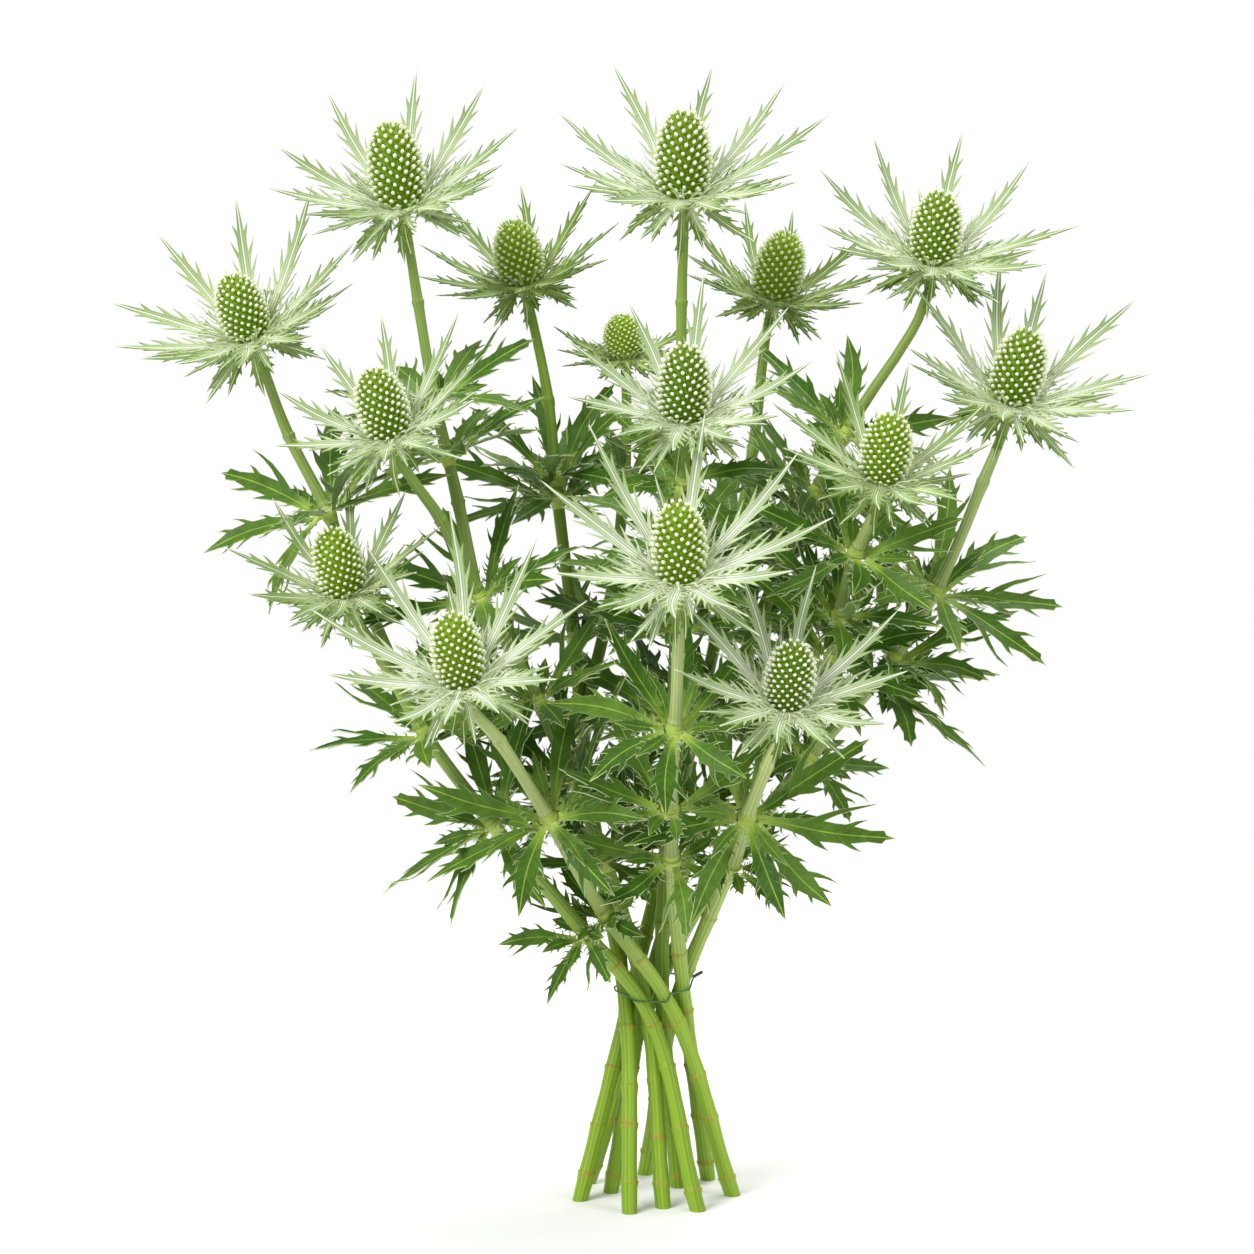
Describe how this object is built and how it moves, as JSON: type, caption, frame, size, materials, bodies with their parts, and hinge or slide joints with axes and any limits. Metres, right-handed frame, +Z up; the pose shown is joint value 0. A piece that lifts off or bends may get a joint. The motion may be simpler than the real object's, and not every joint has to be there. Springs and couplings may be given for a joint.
{
  "type": "sea holly bunch",
  "caption": "Spiral-tied bunch of cut sea holly standing on its splayed stem ends, with spiny cone heads, silvery bract ruffs and whorls of cut leaves.",
  "frame": {"origin": "on the surface the bunch stands on, under the middle of its spread", "axes": "+Z up along the stems, -Y towards the front of the bunch, +X to the right"},
  "size_m": [0.465, 0.2433, 0.5169],
  "materials": {
    "stem": "smooth fresh green stem skin, satin, finely ridged, paler and greyer above the tie, brownish at the joints",
    "leaf": "matt dark green cut leaves with pale yellow-green midribs and spiny light edges",
    "bract": "silvery white-green waxy bracts with pale midribs, greener towards the spiny tips",
    "floret": "yellow-green floret buds with pale rounded tips, packed in spirals",
    "tie_wire": "thin dark green coated wire"
  },
  "bodies": {
    "root": {"bud": "floret", "head_01_cone": "floret", "head_01_ruff": "bract", "head_02_cone": "floret", "head_02_ruff": "bract", "head_03_cone": "floret", "head_03_ruff": "bract", "head_04_cone": "floret", "head_04_ruff": "bract", "head_05_cone": "floret", "head_05_ruff": "bract", "head_06_cone": "floret", "head_06_ruff": "bract", "head_07_cone": "floret", "head_07_ruff": "bract", "head_08_cone": "floret", "head_08_ruff": "bract", "head_09_cone": "floret", "head_09_ruff": "bract", "head_10_cone": "floret", "head_10_ruff": "bract", "head_11_cone": "floret", "head_11_ruff": "bract", "head_12_cone": "floret", "head_12_ruff": "bract", "head_13_cone": "floret", "head_13_ruff": "bract", "head_14_cone": "floret", "head_14_ruff": "bract", "head_15_cone": "floret", "head_15_ruff": "bract", "stem_01": "stem", "stem_01_leaves_1": "leaf", "stem_02": "stem", "stem_02_leaves_1": "leaf", "stem_02_leaves_2": "leaf", "stem_02_leaves_3": "leaf", "stem_02_leaves_4": "leaf", "stem_03": "stem", "stem_03_leaves_1": "leaf", "stem_03_leaves_2": "leaf", "stem_04": "stem", "stem_04_leaves_1": "leaf", "stem_04_leaves_2": "leaf", "stem_05": "stem", "stem_05_leaves_1": "leaf", "stem_06": "stem", "stem_06_leaves_1": "leaf", "stem_07": "stem", "stem_07_leaves_1": "leaf", "stem_07_leaves_2": "leaf", "stem_07_leaves_3": "leaf", "stem_08": "stem", "stem_08_leaves_1": "leaf", "stem_09": "stem", "stem_09_leaves_1": "leaf", "stem_10": "stem", "stem_10_leaves_1": "leaf", "stem_10_leaves_2": "leaf", "tie": "tie_wire"}
  },
  "joints": []
}
